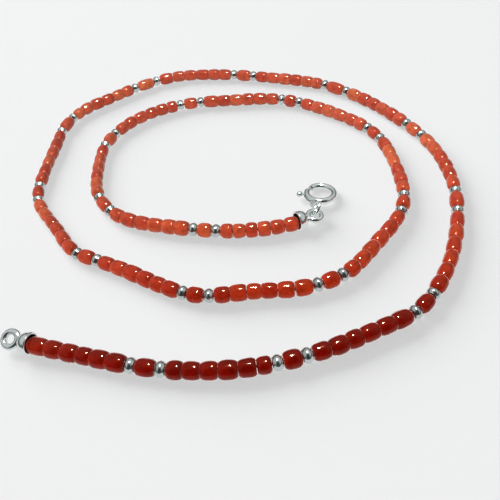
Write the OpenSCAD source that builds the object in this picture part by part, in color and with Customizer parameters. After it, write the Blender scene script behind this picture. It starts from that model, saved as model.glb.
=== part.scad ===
// Coral bead necklace, unfastened and laid in open, loose turns on a flat surface.
// Barrel beads of coral in groups of six, and between the groups a longer coral bead with a silver bead on each side.
// Each end has a cup with a closed ring. The right ring holds a jump ring and a spring ring clasp.
// Millimetres. X runs to the right, Y away from the front, Z up from the surface under the necklace.

/* [Coral beads] */
// Largest diameter of a coral bead of usual thickness
bead_d = 2.5; // [2.3:0.05:2.55]
// Shoulder of a coral bead, as a share of its largest diameter
bead_shoulder = 0.86; // [0.8:0.02:0.92]
// Flat end face of a coral bead, as a share of its largest diameter
bead_face = 0.72; // [0.66:0.02:0.78]
// How much thicker or thinner single coral beads are, as a share
bead_spread = 0.03; // [0:0.01:0.05]

/* [Silver beads] */
// Diameter of a silver bead
silver_d = 2.2; // [2:0.05:2.35]
// Length of a silver bead along the string
silver_len = 1.5; // [1.3:0.05:1.6]
// Flat end face of a silver bead, as a share of its diameter
silver_face = 0.68; // [0.62:0.01:0.74]

/* [Stringing] */
// Diameter of the thread
thread_d = 0.5; // [0.3:0.05:0.55]
// Diameter of the hole through every bead
bore_d = 0.9; // [0.8:0.05:1]
// Clear space between neighbouring beads on a straight stretch
bead_gap = 0.12; // [0.1:0.01:0.16]

/* [End cups] */
// Outer diameter of an end cup
cup_d = 3.4; // [3.3:0.05:3.5]
// Length of an end cup from its mouth to its top
cup_len = 2.15; // [2.05:0.05:2.3]
// Wall thickness of an end cup
cup_wall = 0.22; // [0.15:0.01:0.3]
// How far the first bead reaches into the left cup
cup_grip = 0.05; // [0:0.01:0.06]
// Outer diameter of the ring on an end cup
end_ring_d = 3.2; // [3.1:0.05:3.3]
// Wire thickness of the ring on an end cup
end_ring_wire = 0.9; // [0.75:0.05:0.95]
// Turn of the left ring towards the front, in degrees
left_ring_roll = 24; // [0:4:40]
// Turn of the right cup away from the line of the last bead, in degrees
right_cup_turn = 12; // [0:1:14]
// Drop of the right cup's ring end towards the surface, in degrees
right_cup_drop = 6; // [0:1:7]
// Distance from the last bead to the middle of the right cup's mouth
right_cup_gap = 0.27; // [0.26:0.01:0.35]

/* [Jump ring] */
// Outer diameter of the jump ring
jump_d = 3.3; // [3.2:0.02:3.4]
// Wire thickness of the jump ring
jump_wire = 0.5; // [0.4:0.02:0.52]

/* [Spring ring clasp] */
// Outer diameter of the clasp
clasp_d = 6; // [5.9:0.05:6.1]
// Diameter of the clasp's tube
clasp_tube = 1.15; // [1.1:0.01:1.2]
// Inner diameter of the clasp's tube
clasp_bore = 0.8; // [0.76:0.01:0.84]
// Diameter of the clasp's bolt
bolt_d = 0.64; // [0.56:0.01:0.66]
// Diameter of the ball trigger
trigger_d = 1.15; // [0.95:0.05:1.2]
// Outer diameter of the clasp's eye
eye_d = 1.94; // [1.9:0.01:1.96]
// Wire thickness of the clasp's eye
eye_wire = 0.44; // [0.38:0.01:0.46]
// Turn of the trigger from closed to open, in degrees
trigger_travel = 44; // [38:1:45]

/* [Hidden] */
$fn = 48;

// The string's way over the surface, from the middle of the left end ring to the middle of the right one.
// The move to the origin then brings the middle of the whole necklace there.
to_origin = [-0.15, 0.23];
route = [
    [-35.6, -31.3], [-25.1, -35.3], [-14.0, -39.1], [-3.0, -40.7], [8.5, -39.6], [18.1, -36.8], [23.6, -34.8],
    [29.0, -29.5], [34.5, -20.0], [37.9, -8.5], [37.7, 2.5], [33.8, 12.9], [27.9, 22.4], [22.3, 28.3],
    [9.9, 34.8], [-1.6, 39.0], [-12.5, 40.3], [-22.6, 36.7], [-27.1, 33.9], [-31.5, 31.4], [-35.9, 25.0],
    [-36.8, 18.0], [-37.7, 10.0], [-37.8, 1.6], [-32.4, -8.4], [-28.5, -14.5], [-24.5, -17.0], [-18.5, -20.8],
    [-14.3, -23.8], [-8.4, -27.0], [0.5, -27.6], [9.5, -28.0], [15.2, -26.2], [21.0, -21.0], [27.7, -13.1],
    [29.5, -2.0], [28.2, 8.5], [20.5, 18.5], [11.0, 25.1], [0.4, 27.0], [-10.9, 27.6], [-20.4, 23.9],
    [-26.0, 16.5], [-26.9, 9.0], [-25.8, -0.9], [-22.5, -6.0], [-10.6, -11.8], [1.0, -14.4], [7.5, -14.3],
    [12.4, -13.5]
];
route_steps = 10;

// Columns of the table of bead groups: length of the six beads, length of the single bead after them,
// which of the six is the longest and which the shortest, and how thick the beads are against the usual
SIX = 0;
ONE = 1;
LONGEST = 2;
SHORTEST = 3;
GIRTH = 4;
groups = [
    [15.1, 2.9, 6, 4, 1.08],
    [14.6, 2.7, 4, 6, 1.08],
    [15.6, 3.0, 6, 3, 1.05],
    [17.7, 3.5, 6, 1, 0.93],
    [15.6, 3.0, 5, 3, 0.93],
    [15.6, 4.0, 6, 1, 1.00],
    [15.7, 3.2, 5, 1, 0.99],
    [17.3, 3.9, 6, 2, 0.97],
    [15.2, 3.6, 4, 6, 0.97],
    [16.6, 2.8, 2, 6, 0.90],
    [16.8, 2.7, 5, 4, 0.90],
    [15.5, 2.7, 3, 5, 1.06],
    [15.2, 2.8, 6, 3, 1.05],
    [16.2, 2.7, 5, 1, 1.02],
    [15.6, 2.6, 4, 1, 0.92],
    [15.7, 2.5, 3, 1, 1.00],
    [16.6, 3.0, 6, 3, 1.00],
    [15.1, 2.7, 4, 1, 0.96],
    [15.4, 3.3, 1, 6, 0.91],
    [15.5, 2.5, 2, 5, 1.05],
    [12.8, 0.0, 5, 6, 1.05]
];
group_size = 6;
longest_extra = 0.12;
shortest_less = 0.12;
other_spread = 0.04;

CORAL = 0;
SILVER = 1;
coral_chamfer = 0.22;

// Sizes worked out from the ones above
cup_height = cup_d / 2;
cup_straight = cup_len - cup_d / 2;
end_ring_r = (end_ring_d - end_ring_wire) / 2;
solder_sink = end_ring_wire / 2 - 0.27;
ring_from_mouth = cup_len + solder_sink + end_ring_r;
ring_to_bead = ring_from_mouth - cup_grip;
thread_sides = 6;
thread_in_cup = 0.9;

// Places of the jump ring and the clasp, from the middle of the right end ring
jump_from_ring = [0.54, 1.33, 0.3];
jump_azimuth = 168;
jump_lean = 67;
clasp_from_ring = [2.05, 6.01];
clasp_turn = 247;
clasp_tilt = 7.3;

// Angles round the clasp, counted from its eye
gap_end = -124;
gap_start = -92;
socket_span = 14;
hollow_end = 54;
bolt_tip = gap_end - 8;
bolt_tail = 2;
trigger_at = -72;
slot_play = 7;
slot_height = 0.56;
stem_d = 0.44;
clasp_r = (clasp_d - clasp_tube) / 2;
eye_r = (eye_d - eye_wire) / 2;
eye_at = clasp_d / 2 + eye_r - 0.15;
trigger_r = clasp_d / 2 + trigger_d / 2 + 0.12;

// Smooth curve through the route, with a slope at each point weighted to the nearer neighbour
last_point = len(route) - 1;
function seg_len(i) = norm(route[i + 1] - route[i]);
function seg_dir(i) = (route[i + 1] - route[i]) / seg_len(i);
function mixed_dir(i) = (seg_dir(i) * seg_len(i - 1) + seg_dir(i - 1) * seg_len(i)) / (seg_len(i - 1) + seg_len(i));
function slope(i) = i == 0 ? seg_dir(0) : i == last_point ? seg_dir(last_point - 1) : mixed_dir(i);
function on_segment(i, t) =
    route[i] * (2 * t ^ 3 - 3 * t ^ 2 + 1)
    + slope(i) * seg_len(i) * (t ^ 3 - 2 * t ^ 2 + t)
    + route[i + 1] * (3 * t ^ 2 - 2 * t ^ 3)
    + slope(i + 1) * seg_len(i) * (t ^ 3 - t ^ 2);
curve = concat(
    [for (i = [0 : last_point - 1]) for (k = [0 : route_steps - 1]) to_origin + on_segment(i, k / route_steps)],
    [to_origin + route[last_point]]
);
function step_len(i) = i < 1 || i >= len(curve) ? 0 : norm(curve[i] - curve[i - 1]);
run = [for (i = 0, s = 0; i < len(curve); i = i + 1, s = s + step_len(i)) s];
route_len = run[len(run) - 1];
run_x = [for (i = [0 : len(curve) - 1]) [run[i], curve[i].x]];
run_y = [for (i = [0 : len(curve) - 1]) [run[i], curve[i].y]];

// The beads in order, each as its kind and its share of the string's length
function sum(list, i = 0) = i < len(list) ? list[i] + sum(list, i + 1) : 0;
function weight(g, k) =
    k == groups[g][LONGEST] ? 1 + longest_extra
    : k == groups[g][SHORTEST] ? 1 - shortest_less
    : 1 + other_spread * sin(137 * (group_size * g + k));
function weight_sum(g) = sum([for (k = [1 : group_size]) weight(g, k)]);
function six_beads(g) = [for (k = [1 : group_size]) [CORAL, groups[g][SIX] * weight(g, k) / weight_sum(g)]];
function one_bead(g) = [[SILVER, silver_len], [CORAL, groups[g][ONE]], [SILVER, silver_len]];
beads = [
    for (g = [0 : len(groups) - 1])
        for (b = g < len(groups) - 1 ? concat(six_beads(g), one_bead(g)) : six_beads(g)) b
];
bead_count = len(beads);
string_len = route_len - 2 * ring_to_bead;
stretch = string_len / sum([for (b = beads) b[1]]);

// Thickness of the beads against the usual, and the height of the string's axis, by a bead's number in the string.
// The thickest bead of each stretch rests on the surface.
group_beads = group_size + 3;
girths = [for (g = [0 : len(groups) - 1]) [group_beads * g + (group_size - 1) / 2, groups[g][GIRTH]]];
function girth(i) = lookup(i, girths);
function height(i) = girth(i) * bead_d * (1 + bead_spread) / 2;

// Joints between the beads: places along the string, then points in space
joint_s = [for (i = 0, s = ring_to_bead; i <= bead_count; s = s + (i < bead_count ? beads[i][1] * stretch : 0), i = i + 1) s];
joints = [for (i = [0 : bead_count]) [lookup(joint_s[i], run_x), lookup(joint_s[i], run_y), height(i - 0.5)]];
function along(i) = (joints[i + 1] - joints[i]) / norm(joints[i + 1] - joints[i]);
function bend(i) = acos(min(1, along(i - 1) * along(i)));
function gap(i) = i < 1 || i > bead_count - 1 ? 0 : bead_gap + bead_d * sin(bend(i) / 2);
function bead_len(i) = norm(joints[i + 1] - joints[i]) - (gap(i) + gap(i + 1)) / 2;
function bead_middle(i) = joints[i] + along(i) * (gap(i) + bead_len(i)) / 2;
function azimuth(v) = atan2(v.y, v.x);
function bead_size(i) = girth(i) * bead_d * (1 + bead_spread * sin(97 * i));
function level(a) = [cos(a), sin(a), 0];

module on_string(i) {
    v = along(i);
    translate(bead_middle(i))
        rotate([0, acos(v.z), azimuth(v)])
            children();
}

// Half section of a drilled bead: a bulging side, flat end faces, and a chamfer of the given depth between them
module bead_section(r, shoulder_r, face_r, chamfer, l) {
    sag = r - shoulder_r;
    side_r = (l * l / 4 + sag * sag) / (2 * sag);
    intersection() {
        translate([r - side_r, 0])
            circle(side_r, $fn = 200);
        polygon([
            [bore_d / 2, -l / 2],
            [face_r, -l / 2],
            [r, -l / 2 + chamfer],
            [r, l / 2 - chamfer],
            [face_r, l / 2],
            [bore_d / 2, l / 2]
        ]);
    }
}

module coral_bead(i) {
    r = bead_size(i) / 2;
    rotate_extrude()
        bead_section(r, r * bead_shoulder, r * bead_face, r * coral_chamfer, bead_len(i));
}

module silver_bead(i) {
    r = girth(i) * silver_d / 2;
    rotate_extrude()
        bead_section(r, r * silver_face, r * silver_face, 0, bead_len(i));
}

module coral_beads() {
    color("#8e1a10")
        for (i = [0 : bead_count - 1])
            if (beads[i][0] == CORAL)
                on_string(i) coral_bead(i);
}

module silver_beads() {
    color("#c9ccce")
        for (i = [0 : bead_count - 1])
            if (beads[i][0] == SILVER)
                on_string(i) silver_bead(i);
}

// The thread, a six-sided tube through all the joints and a little way into both cups
function joint_dir(i) = i == 0 ? along(0) : i == bead_count ? along(bead_count - 1) : along(i - 1) + along(i);
thread_points = concat(
    [joints[0] - along(0) * thread_in_cup],
    joints,
    [joints[bead_count] + along(bead_count - 1) * thread_in_cup]
);
thread_dirs = concat([along(0)], [for (i = [0 : bead_count]) joint_dir(i)], [along(bead_count - 1)]);
function ring_point(p, a, k) =
    let (t = 360 * k / thread_sides)
    p + thread_d / 2 * [-sin(a) * cos(t), cos(a) * cos(t), sin(t)];

module thread() {
    n = thread_sides;
    rings = len(thread_points);
    points = [
        for (i = [0 : rings - 1])
            for (k = [0 : n - 1]) ring_point(thread_points[i], azimuth(thread_dirs[i]), k)
    ];
    sides = [
        for (i = [0 : rings - 2])
            for (k = [0 : n - 1])
                for (half = [0, 1])
                    half == 0
                        ? [i * n + k, (i + 1) * n + k, (i + 1) * n + (k + 1) % n]
                        : [i * n + k, (i + 1) * n + (k + 1) % n, i * n + (k + 1) % n]
    ];
    caps = [[for (k = [0 : n - 1]) k], [for (k = [n - 1 : -1 : 0]) (rings - 1) * n + k]];
    color("#7a1610")
        polyhedron(points, concat(sides, caps));
}

module wire_ring(outer_d, wire) {
    rotate_extrude()
        translate([(outer_d - wire) / 2, 0])
            circle(wire / 2);
}

// An end cup with its mouth at the origin, opening towards -Z, and its ring above
module end_cup(roll) {
    r = cup_d / 2;
    inner_r = r - cup_wall;
    color("#c4c8ca") {
        rotate_extrude()
            intersection() {
                difference() {
                    union() {
                        translate([0, cup_straight])
                            circle(r);
                        square([r, cup_straight]);
                    }
                    translate([0, cup_straight])
                        circle(inner_r);
                    translate([-1, -1])
                        square([inner_r + 1, cup_straight + 1]);
                }
                square([r + 1, cup_len + 1]);
            }
        translate([0, 0, ring_from_mouth])
            rotate([0, 0, roll])
                rotate([90, 0, 0])
                    wire_ring(end_ring_d, end_ring_wire);
    }
}

left_azimuth = azimuth(-along(0));
right_azimuth = azimuth(along(bead_count - 1)) + right_cup_turn;
left_mouth = [joints[0].x, joints[0].y, cup_height] - cup_grip * level(left_azimuth);
right_mouth = [joints[bead_count].x, joints[bead_count].y, cup_height] + right_cup_gap * level(right_azimuth);
ring_from_dome = ring_from_mouth - cup_straight;
right_ring = right_mouth
    + (cup_straight + ring_from_dome * cos(right_cup_drop)) * level(right_azimuth)
    - [0, 0, ring_from_dome * sin(right_cup_drop)];

module end_cup_left() {
    translate(left_mouth)
        rotate([0, 90, left_azimuth])
            end_cup(90 - left_ring_roll);
}

// The right cup drops about the middle of its dome, so that it stays on the surface
module end_cup_right() {
    translate(right_mouth + cup_straight * level(right_azimuth))
        rotate([0, 90 + right_cup_drop, right_azimuth])
            translate([0, 0, -cup_straight])
                end_cup(90);
}

module jump_ring() {
    color("#c9ccce")
        translate(right_ring + jump_from_ring)
            rotate([0, jump_lean, jump_azimuth])
                wire_ring(jump_d, jump_wire);
}

// The clasp leans on the jump ring with its eye side up
module at_clasp() {
    translate([
        right_ring.x + clasp_from_ring.x,
        right_ring.y + clasp_from_ring.y,
        clasp_tube / 2 + clasp_r * sin(clasp_tilt)
    ])
        rotate([0, 0, clasp_turn])
            rotate([0, -clasp_tilt, 0])
                children();
}

// A rod or tube bent round the clasp's axis from one angle to another
module arc(from, to, d) {
    rotate([0, 0, from])
        rotate_extrude(angle = to - from)
            translate([clasp_r, 0])
                circle(d / 2);
}

module clasp_ring() {
    color("#c4c8ca")
        at_clasp()
            difference() {
                union() {
                    arc(gap_start, gap_end + 360, clasp_tube);
                    translate([eye_at, 0, 0])
                        wire_ring(eye_d, eye_wire);
                }
                arc(gap_start - 1, hollow_end, clasp_bore);
                arc(gap_end + 360 - socket_span, gap_end + 361, clasp_bore);
                rotate([0, 0, trigger_at - slot_play])
                    rotate_extrude(angle = trigger_travel + 2 * slot_play)
                        translate([clasp_r, -slot_height / 2])
                            square([clasp_tube, slot_height]);
            }
}

module clasp_bolt() {
    color("#b9bdc0")
        at_clasp() {
            arc(bolt_tip, bolt_tail, bolt_d);
            rotate([0, 0, trigger_at]) {
                translate([clasp_r, 0, 0])
                    rotate([0, 90, 0])
                        cylinder(h = trigger_r - clasp_r, d = stem_d);
                translate([trigger_r, 0, 0])
                    sphere(d = trigger_d);
            }
        }
}

coral_beads();
silver_beads();
thread();
end_cup_left();
end_cup_right();
jump_ring();
clasp_ring();
clasp_bolt();
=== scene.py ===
import math
import random

import bpy
import numpy as np
from mathutils import Matrix, Vector, noise


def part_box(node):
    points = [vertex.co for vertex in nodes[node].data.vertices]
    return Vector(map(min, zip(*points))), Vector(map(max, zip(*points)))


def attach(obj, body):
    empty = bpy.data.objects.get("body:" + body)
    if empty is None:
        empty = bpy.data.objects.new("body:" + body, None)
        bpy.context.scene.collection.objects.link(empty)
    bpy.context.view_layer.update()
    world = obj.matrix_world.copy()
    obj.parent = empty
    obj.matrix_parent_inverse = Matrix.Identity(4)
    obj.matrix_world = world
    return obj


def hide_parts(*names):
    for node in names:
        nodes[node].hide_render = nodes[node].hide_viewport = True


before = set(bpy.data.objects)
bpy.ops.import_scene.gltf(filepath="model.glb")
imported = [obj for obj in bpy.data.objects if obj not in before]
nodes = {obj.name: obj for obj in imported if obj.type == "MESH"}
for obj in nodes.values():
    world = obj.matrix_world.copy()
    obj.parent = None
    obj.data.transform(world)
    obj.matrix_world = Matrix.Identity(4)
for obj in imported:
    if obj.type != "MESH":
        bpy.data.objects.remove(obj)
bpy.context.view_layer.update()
MM = 0.001

# Camera: place, lens and sensor in millimetres, pitch below the horizon and roll in degrees, and the nearest
# and farthest distance that it shows in metres
CAMERA_AT = (0.72, -79.07, 65.466)
CAMERA_PITCH = 46.74
CAMERA_ROLL = 6.98
CAMERA_LENS = 38.88
CAMERA_SENSOR = 36
CAMERA_NEAR = 0.001
CAMERA_FAR = 20
# Gamma of the view
VIEW_GAMMA = 0.85

# Reading the CAD solids: grid on which points are joined, size under which a triangle has no direction, and
# cosines between a triangle's normal and the axis above which it is part of a bead's end, one for each round
WELD = 0.001 * MM
NO_AREA = 1e-30
END_LEANS = (0.9, 0.97, 0.995)

# Mesh divisions
CORAL_SIDES = 28
CORAL_STEPS = 8
SILVER_SIDES = 32
SILVER_STEPS = 12
ROUND_STEPS = 4
BORE_STEPS = 3
CUP_SIDES = 96
DOME_STEPS = 12
RIM_STEPS = 8
TOP_STEPS = 20
RING_STEPS = 96
RING_SIDES = 32

# Beads: the hole, the space left between neighbours, and the growth of the first and the last bead towards
# their cups
BORE_D = 0.9 * MM
BEAD_TOUCH = 0.012 * MM
CUP_REACH = (0.28 * MM, 0.42 * MM)
# Shares: radius at which two beads meet in a bend, growth where coral and silver meet, and depth of an end's
# dish
FACE_SHARE = 0.8
SILVER_REACH = 0.3
END_DISH = 0.25

# Coral barrels: seed of the draws, power of the curve, and radius of the end faces beside a silver bead or a
# cup and beside coral, as shares of the bead's radius
CORAL_SEED = 1000
BARREL_POWER = (2.7, 3.1)
LONE_FACE = (0.66, 0.72)
JOINED_FACE = (0.75, 0.82)
# How uneven the barrels are, as shares of their size: taper and the shrinking with it, oval, slant of an end,
# lumps with their scale, and the most that may stick out. Last comes the range of places in the noise
TAPER = 0.04
TAPER_SINK = 0.3
OVAL = 0.02
SLANT = 0.012
LUMP = 0.03
LUMP_SCALE = 1.1
MOST_SWELL = 0.015
NOISE_REACH = 50

# Silver beads: seed of the draws, and rounding of the edges and radius at the ends, as shares of the bead's
# radius
SILVER_SEED = 3000
SILVER_EDGE = 0.1
SILVER_FACE = 0.68

# End cups: middle of the mouth in millimetres, then azimuth of the axis, drop of the ring end and turn of the
# ring in degrees
LEFT_CUP = ((-32.5024, -32.3204, 1.7), 158.867, 0, 66)
RIGHT_CUP = ((9.12771, -13.7796, 1.7), 19.1262, 6, 90)
# Shape of both cups in millimetres: straight part, outer radius, wall, step behind the rim, rim, and solder
# on the dome
CUP_STRAIGHT = 0.45
CUP_R = 1.7
CUP_WALL = 0.38
CUP_NECK = 0.05
RIM_R = 0.19
SOLDER_R = 0.8
SOLDER_RISE = 0.1
# Ring of a cup in millimetres: its middle from the mouth, radius of its middle line and of its wire
RING_AT = 3.48
RING_R = 1.14
RING_WIRE = 0.5

# Jump ring: middle in millimetres, azimuth and lean in degrees, radius of its middle line and of its wire in
# millimetres, and its cut in degrees
JUMP_AT = (12.9399, -11.3148, 1.68328)
JUMP_TURN = (168, 67)
JUMP_R = 1.4
JUMP_WIRE = 0.25
JUMP_CUT = 1.6

# Thread in millimetres: radius of a ply and of its way round the middle, length of a full twist, step between
# points, and reach into the cups
PLIES = 3
PLY_R = 0.125
PLY_WAY = 0.12
PLY_TWIST = 1.5
PLY_STEP = 0.19
PLY_SIDES = 6
THREAD_IN_CUP = 0.85

# Range of a noise texture that is spread over a colour or a roughness
NOISE_SPREAD = (0.3, 0.7)

# Coral's colours from the front of the necklace to its back, as the photograph shows them: the coral's red
# with painted shade, darker at the front and lighter at the back
FRONT_Y = -42 * MM
BACK_Y = 42 * MM
CORAL_COLOURS_WITH_PAINTED_SHADE = [
    (0, (0.21, 0.003, 0.0003)),
    (0.07, (0.255, 0.006, 0.0006)),
    (0.17, (0.435, 0.034, 0.01)),
    (0.27, (0.52, 0.067, 0.029)),
    (0.4, (0.585, 0.103, 0.05)),
    (0.65, (0.6, 0.118, 0.066)),
    (0.87, (0.585, 0.118, 0.066)),
]
# Tints that a bead's own random shade picks from
CORAL_TINTS = [(0, (0.88, 0.74, 0.75)), (0.5, (1, 1, 1)), (1, (1.1, 1.45, 1.25))]
# Scales of the coral's textures per millimetre, and the distance from a pit's middle where it ends
CORAL_CLOUDS = 0.9
GRAIN_STRETCH = (4, 4, 0.9)
PITS_PER_MM = 1.7
PIT_EDGE = (0.04, 0.13)
# What clouds, grain and pits do to the coral's brightness and roughness
CORAL_MOTTLE = (0.8, 1.22)
CORAL_GRAIN = (0.93, 1.07)
PIT_SHADE = 0.6
CORAL_ROUGHNESS = (0.07, 0.14)
PIT_ROUGHNESS = 0.3
CORAL_BUMP = {"Strength": 0.5, "Distance": 0.01 * MM}
CORAL_SHADER = {
    "IOR": 1.62,
    "Specular Tint": (0.72, 0.42, 0.28, 1),
    "Sheen Weight": 0.8,
    "Sheen Roughness": 0.3,
    "Sheen Tint": (1, 0.72, 0.66, 1),
    "Subsurface Weight": 0.15,
    "Subsurface Radius": (1, 0.2, 0.1),
    "Subsurface Scale": 0.6 * MM,
}

# Silver: dull and bright tone of the beads and of the clasp, the beads' silver painted darker and the clasp's
# brighter as shaded and lit copies of one silver, painted shade inside the cups, and textures per metre
BEAD_SILVER_PAINTED_DARKER = ((0.62, 0.65, 0.645), (0.74, 0.765, 0.76))
CLASP_SILVER_PAINTED_BRIGHTER = ((0.86, 0.89, 0.885), (0.95, 0.97, 0.965))
TONE_SPREAD = (0.35, 0.65)
PAINTED_INNER_SHADE = (0.25, 0.23, 0.22, 1)
SILVER_CLOUDS = 700.0
SILVER_GRAIN = 9000.0
GRAIN_RELIEF = 0.15
SILVER_ROUGHNESS = (0.06, 0.13)
PAINTED_INNER_SHADE_ROUGHNESS = 0.35
SILVER_BUMP = {"Strength": 0.6, "Distance": 0.05 * MM}

# Thread: dark and light tone, texture per metre
THREAD_TONES = ((0.1, 0.01, 0.008), (0.22, 0.03, 0.02))
THREAD_CLOUDS = 3000.0
THREAD_ROUGHNESS = 0.85

# Floor: half its width in metres, its surface, and what mirrors show of it
FLOOR_REACH = 12
FLOOR_SHADER = {"Base Color": (0.88, 0.885, 0.885, 1), "Roughness": 0.9, "Specular IOR Level": 0.1}
FLOOR_MIRRORED = {"Color": (0.97, 1, 1, 1), "Strength": 0.76}

# Lights: place in millimetres or azimuth and elevation in degrees, distance and width in metres, and power
HIGHLIGHT_AT = (10.6, 15.5, 188.6)
HIGHLIGHT_SIZE = 0.029
HIGHLIGHT_POWER = 1.2
WINDOW_WAY = (42, 27)
WINDOW_DISTANCE = 2.5
WINDOW_SIZE = 1.9
WINDOW_POWER = 42.5
FILL_WAY = (172, 55)
FILL_STRENGTH = 2.35

# Room: even light for all but mirrors, the colours that mirrors show from the horizon up, and the dark side
# with its azimuth and elevation and the angles at which it starts to fade and ends, in degrees
EVEN_LIGHT = (0.12, 0.12, 0.12, 1)
ROOM_COLOURS = [
    (0, (0.13, 0.145, 0.14)),
    (0.25, (0.15, 0.165, 0.16)),
    (0.5, (0.58, 0.61, 0.605)),
    (1, (0.58, 0.61, 0.61)),
]
DARK_WAY = (180, 42)
DARK_REACH = (22, 50)
DARK_COLOUR = (0.06, 0.075, 0.07, 1)


def make_camera():
    pitch, roll = math.radians(CAMERA_PITCH), math.radians(CAMERA_ROLL)
    level = Vector((1, 0, 0))
    rise = Vector((0, math.sin(pitch), math.cos(pitch)))
    right = math.cos(roll) * level - math.sin(roll) * rise
    up = math.sin(roll) * level + math.cos(roll) * rise
    data = bpy.data.cameras.new("camera")
    data.lens = CAMERA_LENS
    data.sensor_width = CAMERA_SENSOR
    data.clip_start = CAMERA_NEAR
    data.clip_end = CAMERA_FAR
    camera = bpy.data.objects.new("camera", data)
    camera.matrix_world = Matrix((right, up, right.cross(up))).transposed().to_4x4()
    camera.location = Vector(CAMERA_AT) * MM
    bpy.context.scene.collection.objects.link(camera)
    bpy.context.scene.camera = camera


def loose_parts(obj):
    """Points and triangles of each loose solid of a CAD node, with points joined that the normals split."""
    mesh = obj.data
    mesh.calc_loop_triangles()
    co = np.empty(len(mesh.vertices) * 3)
    mesh.vertices.foreach_get("co", co)
    tri = np.empty(len(mesh.loop_triangles) * 3, np.int32)
    mesh.loop_triangles.foreach_get("vertices", tri)
    key = np.round(co.reshape(-1, 3) / WELD).astype(np.int64)
    _, first, joined = np.unique(key, axis=0, return_index=True, return_inverse=True)
    points = co.reshape(-1, 3)[first]
    tri = joined.reshape(-1)[tri].reshape(-1, 3)
    label = np.arange(len(points))
    while True:
        low = label[tri].min(1)
        new = label.copy()
        for k in range(3):
            np.minimum.at(new, tri[:, k], low)
        new = new[new]
        if (new == label).all():
            break
        label = new
    parts = []
    for name in np.unique(label):
        own = label == name
        place = np.cumsum(own) - 1
        parts.append((points[own], place[tri[label[tri[:, 0]] == name]]))
    return parts


class Bead:
    """A drilled bead read from its CAD solid: middle, axis, length and largest radius."""

    def __init__(self, kind, points, tri):
        self.kind = kind
        self.points = points
        self.tri = tri
        self.middle = (points.min(0) + points.max(0)) / 2

    def measure(self, hint):
        """Find the axis from the flat ends, from a rough direction on, and the sizes along and round it."""
        corners = self.points[self.tri]
        area = np.cross(corners[:, 1] - corners[:, 0], corners[:, 2] - corners[:, 0])
        unit = area / np.maximum(np.linalg.norm(area, axis=1, keepdims=True), NO_AREA)
        axis = hint / np.linalg.norm(hint)
        for least in END_LEANS:
            lean = unit @ axis
            ends = np.abs(lean) > least
            axis = (area[ends] * np.sign(lean[ends])[:, None]).sum(0)
            axis /= np.linalg.norm(axis)
        offset = self.points - self.middle
        t = offset @ axis
        self.axis = Vector(axis)
        self.length = float(t.max() - t.min())
        self.radius = float(np.linalg.norm(offset - t[:, None] * axis, axis=1).max())
        self.middle = Vector(self.middle)
        self.reach = [0, 0]

    def start(self):
        return self.middle - self.axis * self.length / 2

    def end(self):
        return self.middle + self.axis * self.length / 2

    def span(self):
        """Middle and half length with the reach at both ends."""
        before, after = self.reach
        return self.middle + self.axis * (after - before) / 2, (self.length + before + after) / 2


def read_beads():
    """All the beads in their order along the string, from the left cup."""
    left = []
    for name in ("coral_beads", "silver_beads"):
        left += [Bead(name, points, tri) for points, tri in loose_parts(nodes[name])]
    low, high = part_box("end_cup_left")
    at = np.array((low + high) / 2)
    order = []
    while left:
        nearest = min(left, key=lambda bead: np.linalg.norm(bead.middle - at))
        left.remove(nearest)
        order.append(nearest)
        at = nearest.middle
    places = [np.array(bead.middle) for bead in order]
    for i, bead in enumerate(order):
        bead.number = i
        bead.measure(places[min(i + 1, len(order) - 1)] - places[max(i - 1, 0)])
    for bead, after in zip(order, order[1:]):
        close_up(bead, after)
    order[0].reach[0], order[-1].reach[1] = CUP_REACH
    return order


def close_up(bead, after):
    """Lengthen two neighbours towards each other until they all but touch, and less beside a silver bead."""
    along = (bead.axis + after.axis).normalized()
    lean = bead.axis.angle(after.axis) / 2
    apart = (after.start() - bead.end()).dot(along) - 2 * FACE_SHARE * bead.radius * math.sin(lean)
    reach = max(0, (apart - BEAD_TOUCH) / 2)
    if bead.kind != after.kind:
        reach *= SILVER_REACH
    bead.reach[1] = after.reach[0] = reach


def mesh_object(name, verts, faces, material, attributes=()):
    mesh = bpy.data.meshes.new(name)
    mesh.from_pydata(verts, [], faces)
    mesh.shade_smooth()
    mesh.materials.append(material)
    for label, kind, field, values in attributes:
        layer = mesh.attributes.new(label, kind, "POINT")
        layer.data.foreach_set(field, np.asarray(values, np.float32).ravel())
    obj = bpy.data.objects.new(name, mesh)
    bpy.context.scene.collection.objects.link(obj)
    return obj


def lathe_faces(rings, sides, start):
    """Quads of a closed lathe form whose last ring meets its first."""
    faces = []
    for i in range(rings):
        for k in range(sides):
            a = start + i * sides
            b = start + (i + 1) % rings * sides
            faces.append((a + k, b + k, b + (k + 1) % sides, a + (k + 1) % sides))
    return faces


def bead_frame(bead, spin):
    """Matrix whose Z is the bead's axis, turned about it by the given angle."""
    turn = bead.axis.to_track_quat("Z", "Y").to_matrix()
    return turn @ Matrix.Rotation(spin, 3, "Z")


def rounded_profile(half, radius, hole, shoulder, edge, steps):
    """Radius and place along the axis, from one rim of the hole over the belly to the other rim.

    The belly is part of an ellipse that has the shoulder radius at both ends, and an arc rounds each end.
    """
    fall = 1 - (shoulder / radius) ** 2
    start = half - edge
    top = radius * math.sqrt(1 - fall * (start / half) ** 2)
    rim = [(hole, half - (top - edge - hole) * END_DISH / 2), ((hole + top - edge) / 2, half)]
    for k in range(ROUND_STEPS):
        a = math.pi / 2 * k / ROUND_STEPS
        rim.append((top - edge + edge * math.sin(a), start + edge * math.cos(a)))
    belly = []
    for k in range(steps + 1):
        t = start - 2 * start * k / steps
        belly.append((radius * math.sqrt(1 - fall * (t / half) ** 2), t))
    return rim + belly + [(r, -t) for r, t in reversed(rim)]


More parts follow.
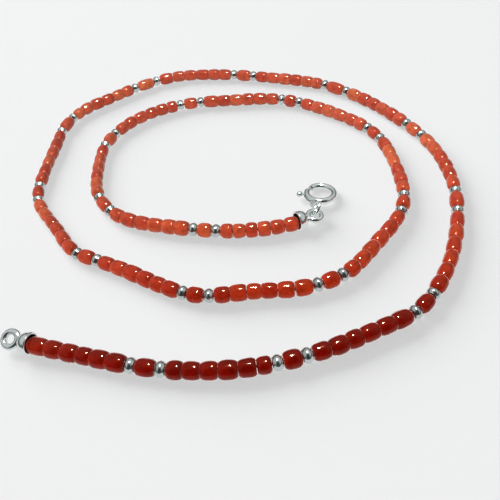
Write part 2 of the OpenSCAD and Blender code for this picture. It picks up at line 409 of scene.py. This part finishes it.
def barrel_profile(half, radius, hole, power, faces, steps):
    """Radius and place along a barrel's axis: a rounded curve of the given power between two flat faces."""
    ends = []
    for face in faces:
        lean = math.acos((face / radius) ** (power / 2))
        full = half / math.sin(lean) ** (2 / power)
        line = [(hole, half - (face - hole) * END_DISH / 2), ((hole + face) / 2, half)]
        for k in range(steps):
            a = lean * (1 - k / steps)
            line.append((radius * math.cos(a) ** (2 / power), full * math.sin(a) ** (2 / power)))
        ends.append(line)
    return ends[0] + [(radius, 0)] + [(r, -t) for r, t in reversed(ends[1])]


def bore_profile(profile):
    """Points through the hole from the profile's last rim back to its first."""
    (hole, far), (_, near) = profile[-1], profile[0]
    return [(hole, far + (near - far) * k / (BORE_STEPS + 1)) for k in range(1, BORE_STEPS + 1)]


def make_coral(beads, material):
    """Coral barrels with soft shoulders, each a little uneven as hand-cut ones are."""
    verts, faces, local, tone = [], [], [], []
    for bead in beads:
        if bead.kind != "coral_beads":
            continue
        rng = random.Random(CORAL_SEED + bead.number)
        hole = BORE_D / 2
        middle, half = bead.span()
        power = rng.uniform(*BARREL_POWER)
        faces_at = []
        for other in (bead.number + 1, bead.number - 1):
            lone = not 0 <= other < len(beads) or beads[other].kind != bead.kind
            faces_at.append(bead.radius * rng.uniform(*(LONE_FACE if lone else JOINED_FACE)))
        profile = barrel_profile(half, bead.radius, hole, power, faces_at, CORAL_STEPS)
        profile += bore_profile(profile)
        turn = bead_frame(bead, rng.uniform(0, math.tau))
        taper = rng.uniform(-TAPER, TAPER)
        oval = rng.uniform(0, OVAL)
        slant = rng.uniform(0, SLANT)
        seed = Vector([rng.uniform(-NOISE_REACH, NOISE_REACH) for _ in range(3)])
        start = len(verts)
        shade = rng.random()
        for r, t in profile:
            for k in range(CORAL_SIDES):
                a = math.tau * k / CORAL_SIDES
                flat = Vector((math.cos(a), math.sin(a), 0))
                on_belly = min(1, max(0, (r - hole) / (bead.radius - hole) * 2))
                lump = noise.noise(seed + Vector((flat.x, flat.y, t / bead.radius)) * LUMP_SCALE)
                swell = taper * t / half - TAPER_SINK * abs(taper) + oval * math.cos(2 * a) + LUMP * lump
                place = flat * r * (1 + min(swell, MOST_SWELL) * on_belly)
                place.z = t * (1 - slant * 0.5 * (1 + math.cos(a)) * abs(t) / half)
                verts.append(middle + turn @ place)
                local.append(place / MM + seed)
                tone.append(shade)
        faces += lathe_faces(len(profile), CORAL_SIDES, start)
    return mesh_object(
        "coral_barrels", verts, faces, material,
        [("bead_place", "FLOAT_VECTOR", "vector", local), ("bead_shade", "FLOAT", "value", tone)],
    )


def make_silver(beads, material):
    """Round silver beads with a rolled edge at each hole."""
    verts, faces = [], []
    for bead in beads:
        if bead.kind != "silver_beads":
            continue
        rng = random.Random(SILVER_SEED + bead.number)
        middle, half = bead.span()
        shoulder, edge = bead.radius * SILVER_FACE, bead.radius * SILVER_EDGE
        profile = rounded_profile(half, bead.radius, BORE_D / 2, shoulder, edge, SILVER_STEPS)
        profile += bore_profile(profile)
        turn = bead_frame(bead, rng.uniform(0, math.tau))
        start = len(verts)
        for r, t in profile:
            for k in range(SILVER_SIDES):
                a = math.tau * k / SILVER_SIDES
                place = Vector((math.cos(a) * r, math.sin(a) * r, t))
                verts.append(middle + turn @ place)
        faces += lathe_faces(len(profile), SILVER_SIDES, start)
    return mesh_object("silver_rounds", verts, faces, material)


def tube(verts, faces, points, radius, sides):
    """Append a round tube with closed ends along a list of points."""
    start = len(verts)
    across = None
    for i, at in enumerate(points):
        along = (points[min(i + 1, len(points) - 1)] - points[max(i - 1, 0)]).normalized()
        across = (along.orthogonal() if across is None else across - along * across.dot(along)).normalized()
        over = along.cross(across)
        for k in range(sides):
            a = math.tau * k / sides
            verts.append(at + (across * math.cos(a) + over * math.sin(a)) * radius)
    faces += lathe_faces(len(points), sides, start)[:-sides]
    faces.append(tuple(reversed(range(start, start + sides))))
    faces.append(tuple(range(len(verts) - sides, len(verts))))


def make_thread(beads, material):
    """Plies twisted round the middle line of the beads, into both cups."""
    first, last = beads[0], beads[-1]
    line = [first.start() - first.axis * THREAD_IN_CUP * MM]
    for bead in beads:
        line += [bead.start(), bead.end()]
    line.append(last.end() + last.axis * THREAD_IN_CUP * MM)
    steps = [0]
    for a, b in zip(line, line[1:]):
        steps.append(steps[-1] + (b - a).length)
    count = int(steps[-1] / (PLY_STEP * MM))
    places = np.linspace(0, steps[-1], count)
    middle = np.stack([np.interp(places, steps, [p[k] for p in line]) for k in range(3)], 1)
    verts, faces = [], []
    for ply in range(PLIES):
        points = []
        for i, at in enumerate(middle):
            along = Vector(middle[min(i + 1, count - 1)] - middle[max(i - 1, 0)]).normalized()
            side = Vector((-along.y, along.x, 0)).normalized()
            a = math.tau * (places[i] / (PLY_TWIST * MM) + ply / PLIES)
            points.append(Vector(at) + (side * math.cos(a) + side.cross(along) * math.sin(a)) * PLY_WAY * MM)
        tube(verts, faces, points, PLY_R * MM, PLY_SIDES)
    return mesh_object("twisted_thread", verts, faces, material)


def make_jump_ring(material):
    """A round wire ring whose ends meet at a fine cut."""
    azimuth, lean = (math.radians(a) for a in JUMP_TURN)
    turn = Matrix.Rotation(azimuth, 3, "Z") @ Matrix.Rotation(lean, 3, "Y")
    points = []
    for k in range(RING_STEPS + 1):
        a = math.radians(JUMP_CUT / 2 + (360 - JUMP_CUT) * k / RING_STEPS)
        points.append((Vector(JUMP_AT) + turn @ Vector((math.cos(a), math.sin(a), 0)) * JUMP_R) * MM)
    verts, faces = [], []
    tube(verts, faces, points, JUMP_WIRE * MM, RING_SIDES)
    return mesh_object("jump_ring_wire", verts, faces, material)


def cup_profile():
    """Radius and place along the axis from inside the dome over the rolled rim to the top, in millimetres.

    The last point stops half a step short of the axis. The number returned says how many are inside.
    """
    inner = CUP_R - CUP_WALL
    body = CUP_R - CUP_NECK
    line = []
    for k in range(1, DOME_STEPS + 1):
        a = math.pi / 2 * (1 - k / DOME_STEPS)
        line.append((inner * math.cos(a), CUP_STRAIGHT + inner * math.sin(a)))
    inside = len(line)
    for k in range(RIM_STEPS + 1):
        a = math.pi * (1 + k / RIM_STEPS)
        line.append((CUP_R - RIM_R + RIM_R * math.cos(a), RIM_R + RIM_R * math.sin(a)))
    line.append((body, RIM_R * 2))
    for k in range(TOP_STEPS + 1):
        a = math.pi / 2 * k / (TOP_STEPS + 0.5)
        r = body * math.cos(a)
        rise = SOLDER_RISE * max(0, 1 - (r / SOLDER_R) ** 2) ** 2
        line.append((r, CUP_STRAIGHT + (CUP_R - CUP_NECK / 2) * math.sin(a) + rise))
    return line, inside


def cup_place(mouth, azimuth, drop):
    """Matrix that lays a cup, built upright on its mouth, at its place, dropped about its dome's middle."""
    return (
        Matrix.Translation(mouth) @ Matrix.Rotation(math.radians(azimuth), 4, "Z")
        @ Matrix.Translation((CUP_STRAIGHT, 0, 0)) @ Matrix.Rotation(math.radians(90 + drop), 4, "Y")
        @ Matrix.Translation((0, 0, -CUP_STRAIGHT))
    )


def cup_shell(line):
    """Points and faces of the cup's wall, closed inside and on top."""
    points = []
    for r, t in line:
        for k in range(CUP_SIDES):
            a = math.tau * k / CUP_SIDES
            points.append(Vector((r * math.cos(a), r * math.sin(a), t)))
    faces = lathe_faces(len(line), CUP_SIDES, 0)[:-CUP_SIDES]
    faces.append(tuple(reversed(range(CUP_SIDES))))
    faces.append(tuple(range(len(points) - CUP_SIDES, len(points))))
    return points, faces


def cup_ring(turn):
    """Points of the ring that stands on the cup, turned about the cup's axis."""
    tilt = math.radians(turn)
    axis = Vector((math.sin(tilt), -math.cos(tilt), 0))
    over = Vector((0, 0, 1))
    side = over.cross(axis)
    points = []
    for i in range(RING_STEPS):
        a = math.tau * i / RING_STEPS
        out = over * math.cos(a) + side * math.sin(a)
        for k in range(RING_SIDES):
            b = math.tau * k / RING_SIDES
            at = out * (RING_R + RING_WIRE * math.cos(b)) + axis * RING_WIRE * math.sin(b)
            points.append(Vector((0, 0, RING_AT)) + at)
    return points


def make_cup(name, mouth, azimuth, drop, ring_turn, material):
    """An end cup with its rolled rim, painted shade inside its dome, and its ring set in solder."""
    line, inside = cup_profile()
    points, faces = cup_shell(line)
    faces += lathe_faces(RING_STEPS, RING_SIDES, len(points))
    points += cup_ring(ring_turn)
    place = cup_place(mouth, azimuth, drop)
    verts = [(place @ point) * MM for point in points]
    # Painted shade: the points inside the dome are marked to be drawn as dark, dull metal
    dark = [1.0 if i < inside * CUP_SIDES else 0.0 for i in range(len(points))]
    return mesh_object(name, verts, faces, material, [("painted_inner_shade", "FLOAT", "value", dark)])


def new_material(name):
    material = bpy.data.materials.new(name)
    material.use_nodes = True
    tree = material.node_tree
    tree.nodes.clear()
    output = tree.nodes.new("ShaderNodeOutputMaterial")
    shader = tree.nodes.new("ShaderNodeBsdfPrincipled")
    tree.links.new(shader.outputs["BSDF"], output.inputs["Surface"])
    return material, tree, shader


def feed(tree, node, inputs):
    """Link or set the inputs of a node."""
    for name, value in inputs.items():
        if isinstance(value, bpy.types.NodeSocket):
            tree.links.new(value, node.inputs[name])
        else:
            node.inputs[name].default_value = value


def add(tree, kind, inputs=None, **settings):
    node = tree.nodes.new(kind)
    for name, value in settings.items():
        setattr(node, name, value)
    feed(tree, node, inputs or {})
    return node


def maths(tree, operation, *values):
    node = add(tree, "ShaderNodeMath", dict(enumerate(values)), operation=operation)
    return node.outputs["Value"]


def mix(tree, factor, a, b, blend="MIX"):
    """One colour over another."""
    node = add(tree, "ShaderNodeMix", {"Factor": factor, "A": a, "B": b}, data_type="RGBA", blend_type=blend)
    return node.outputs[2]


def noise_texture(tree, place, scale, detail):
    return add(tree, "ShaderNodeTexNoise", {"Vector": place, "Scale": scale, "Detail": detail}).outputs["Fac"]


def bump(tree, height, settings):
    return add(tree, "ShaderNodeBump", {"Height": height, **settings}).outputs["Normal"]


def ramp(tree, factor, stops):
    node = add(tree, "ShaderNodeValToRGB", {"Fac": factor})
    marks = node.color_ramp.elements
    while len(marks) < len(stops):
        marks.new(0.5)
    for mark, (place, colour) in zip(marks, stops):
        mark.position = place
        mark.color = (*colour, 1)
    return node.outputs["Color"]


def span(tree, value, source, target, **settings):
    """The value's range given by a low and a high end, mapped to another range and kept inside it."""
    node = add(tree, "ShaderNodeMapRange", {
        "Value": value, "From Min": source[0], "From Max": source[1], "To Min": target[0], "To Max": target[1]
    }, **settings)
    return node.outputs["Result"]


def coral_material():
    """Polished coral: cloudy, finely grained along the bead, with small pits, and painted shade that makes it
    deeper red at the front and lighter at the back.
    """
    material, tree, shader = new_material("coral")
    place = add(tree, "ShaderNodeAttribute", attribute_name="bead_place").outputs["Vector"]
    shade = add(tree, "ShaderNodeAttribute", attribute_name="bead_shade").outputs["Fac"]
    where = add(tree, "ShaderNodeTexCoord").outputs["Object"]
    depth = add(tree, "ShaderNodeSeparateXYZ", {"Vector": where}).outputs["Y"]
    # Painted shade: the coral is painted darker towards the front of the necklace and lighter towards its
    # back
    body = ramp(tree, span(tree, depth, (FRONT_Y, BACK_Y), (0, 1)), CORAL_COLOURS_WITH_PAINTED_SHADE)
    body = mix(tree, 1.0, body, ramp(tree, shade, CORAL_TINTS), "MULTIPLY")
    clouds = noise_texture(tree, place, CORAL_CLOUDS, detail=3)
    drawn = add(tree, "ShaderNodeVectorMath", {0: place, 1: GRAIN_STRETCH}, operation="MULTIPLY")
    grain = noise_texture(tree, drawn.outputs["Vector"], scale=1.0, detail=4)
    cells = add(tree, "ShaderNodeTexVoronoi", {"Vector": place, "Scale": PITS_PER_MM}).outputs["Distance"]
    pits = span(tree, cells, PIT_EDGE, (1, 0))
    mottle = span(tree, clouds, NOISE_SPREAD, CORAL_MOTTLE)
    lines = span(tree, grain, NOISE_SPREAD, CORAL_GRAIN)
    tone = maths(tree, "MULTIPLY", mottle, lines)
    tone = maths(tree, "MULTIPLY", tone, span(tree, pits, (0, 1), (1, PIT_SHADE)))
    polish = span(tree, clouds, NOISE_SPREAD, CORAL_ROUGHNESS)
    relief = maths(tree, "MULTIPLY_ADD", pits, -1.0, grain)
    feed(tree, shader, {
        "Base Color": mix(tree, 1.0, body, tone, "MULTIPLY"),
        "Roughness": maths(tree, "MULTIPLY_ADD", pits, PIT_ROUGHNESS, polish),
        "Normal": bump(tree, relief, CORAL_BUMP),
        **CORAL_SHADER,
    })
    return material


def silver_material(name, dull, bright):
    """Polished silver with soft cloudy wear, and dull dark metal as painted shade where a mesh is marked for
    it.
    """
    material, tree, shader = new_material(name)
    where = add(tree, "ShaderNodeTexCoord").outputs["Object"]
    painted_inner_shade = add(tree, "ShaderNodeAttribute", attribute_name="painted_inner_shade").outputs["Fac"]
    clouds = noise_texture(tree, where, SILVER_CLOUDS, detail=4)
    fine = noise_texture(tree, where, SILVER_GRAIN, detail=2)
    metal = ramp(tree, clouds, list(zip(TONE_SPREAD, (dull, bright))))
    polish = span(tree, clouds, NOISE_SPREAD, SILVER_ROUGHNESS)
    relief = maths(tree, "MULTIPLY_ADD", fine, GRAIN_RELIEF, clouds)
    feed(tree, shader, {
        "Metallic": 1,
        # Painted shade: dark, dull metal where the mesh marks the inside of a cup's dome
        "Base Color": mix(tree, painted_inner_shade, metal, PAINTED_INNER_SHADE),
        "Roughness": maths(tree, "MULTIPLY_ADD", painted_inner_shade, PAINTED_INNER_SHADE_ROUGHNESS, polish),
        "Normal": bump(tree, relief, SILVER_BUMP),
    })
    return material


def thread_material():
    material, tree, shader = new_material("thread")
    where = add(tree, "ShaderNodeTexCoord").outputs["Object"]
    clouds = noise_texture(tree, where, THREAD_CLOUDS, detail=3)
    feed(tree, shader, {
        "Base Color": ramp(tree, clouds, list(zip(NOISE_SPREAD, THREAD_TONES))),
        "Roughness": THREAD_ROUGHNESS,
    })
    return material


def floor_material():
    """A matt pale floor, which mirrors show without the shadows on it."""
    material, tree, shader = new_material("floor")
    feed(tree, shader, FLOOR_SHADER)
    even = add(tree, "ShaderNodeEmission", FLOOR_MIRRORED).outputs["Emission"]
    mirrored = add(tree, "ShaderNodeLightPath").outputs["Is Glossy Ray"]
    seen = add(tree, "ShaderNodeMixShader", {"Fac": mirrored, 1: shader.outputs["BSDF"], 2: even})
    tree.links.new(seen.outputs["Shader"], tree.nodes["Material Output"].inputs["Surface"])
    return material


def make_floor():
    corners = [(-1, -1), (1, -1), (1, 1), (-1, 1)]
    verts = [(x * FLOOR_REACH, y * FLOOR_REACH, 0) for x, y in corners]
    floor = mesh_object("floor", verts, [(0, 1, 2, 3)], floor_material())


def make_light(name, at, size, power, diffuse=True, glossy=True):
    """A round light that looks at the necklace, with importance sampling if only mirrors show it."""
    data = bpy.data.lights.new(name, "AREA")
    data.shape = "DISK"
    data.cycles.use_multiple_importance_sampling = not diffuse
    data.size = size
    data.energy = power
    place_light(name, data, at, diffuse, glossy)


def make_fill(name, at, strength):
    """An even light that casts no shadow and isn't mirrored."""
    data = bpy.data.lights.new(name, "SUN")
    data.energy = strength
    data.use_shadow = False
    place_light(name, data, at, True, False)


def place_light(name, data, at, diffuse, glossy):
    light = bpy.data.objects.new(name, data)
    light.location = at
    light.rotation_mode = "QUATERNION"
    light.rotation_quaternion = at.to_track_quat("Z", "Y")
    light.visible_diffuse = diffuse
    light.visible_glossy = glossy
    bpy.context.scene.collection.objects.link(light)


def direction(azimuth, elevation):
    """Unit vector to a place in the room, both angles in degrees: azimuth 0 is the back and 90 the left."""
    a, h = math.radians(azimuth), math.radians(elevation)
    return Vector((-math.sin(a) * math.cos(h), math.cos(a) * math.cos(h), math.sin(h)))


def near_way(tree, way, towards, inner, outer):
    """1 where a direction is less than the inner angle from the given one, and 0 beyond the outer angle."""
    lean = add(tree, "ShaderNodeVectorMath", {0: way, 1: towards}, operation="DOT_PRODUCT").outputs["Value"]
    cosines = math.cos(math.radians(outer)), math.cos(math.radians(inner))
    return span(tree, lean, cosines, (0, 1), interpolation_type="SMOOTHSTEP")


def make_world():
    """Even light on the floor, and a room for mirrors only: pale above, dark low down and by the camera."""
    world = bpy.data.worlds.new("studio")
    bpy.context.scene.world = world
    world.use_nodes = True
    tree = world.node_tree
    tree.nodes.clear()
    output = tree.nodes.new("ShaderNodeOutputWorld")
    way = add(tree, "ShaderNodeTexCoord").outputs["Generated"]
    height = add(tree, "ShaderNodeSeparateXYZ", {"Vector": way}).outputs["Z"]
    dark = near_way(tree, way, direction(*DARK_WAY), *DARK_REACH)
    room = mix(tree, dark, ramp(tree, height, ROOM_COLOURS), DARK_COLOUR)
    mirrored = add(tree, "ShaderNodeLightPath").outputs["Is Glossy Ray"]
    sky = mix(tree, mirrored, EVEN_LIGHT, room)
    background = add(tree, "ShaderNodeBackground", {"Color": sky, "Strength": 1.0})
    tree.links.new(background.outputs["Background"], output.inputs["Surface"])


make_camera()
make_world()
bpy.context.scene.view_settings.view_transform = "Standard"
bpy.context.scene.view_settings.gamma = VIEW_GAMMA
make_light("highlight", Vector(HIGHLIGHT_AT) * MM, HIGHLIGHT_SIZE, HIGHLIGHT_POWER, diffuse=False)
make_light("window", direction(*WINDOW_WAY) * WINDOW_DISTANCE, WINDOW_SIZE, WINDOW_POWER, glossy=False)
make_fill("fill", direction(*FILL_WAY), FILL_STRENGTH)
make_floor()

coral, thread = coral_material(), thread_material()
# Painted light: the beads' silver is painted darker, and the silver of the clasp, cups and rings brighter, as
# shaded and lit copies of one silver
bead_silver_painted_darker = silver_material("bead_silver_painted_darker", *BEAD_SILVER_PAINTED_DARKER)
silver = silver_material("clasp_silver_painted_brighter", *CLASP_SILVER_PAINTED_BRIGHTER)
beads = read_beads()
barrels = make_coral(beads, coral)
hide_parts("coral_beads")
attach(barrels, "necklace")
rounds = make_silver(beads, bead_silver_painted_darker)
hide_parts("silver_beads")
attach(rounds, "necklace")
left_cup = make_cup("left_cup", *LEFT_CUP, silver)
right_cup = make_cup("right_cup", *RIGHT_CUP, silver)
jump_ring = make_jump_ring(silver)
twist = make_thread(beads, thread)
for piece, node, slot in (
    (left_cup, "end_cup_left", "silver"), (right_cup, "end_cup_right", "silver"),
    (jump_ring, "jump_ring", "silver"), (twist, "thread", "thread"),
):
    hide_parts(node)
    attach(piece, "necklace")
clasp = [nodes[name] for name in ("clasp_ring", "clasp_bolt")]
for part in clasp:
    part.data.materials.clear()
    part.data.materials.append(silver)
# Diffuse rays pass through all but the thread, so that the beads don't tint the floor
for piece in (barrels, rounds, left_cup, right_cup, jump_ring, *clasp):
    piece.visible_diffuse = False
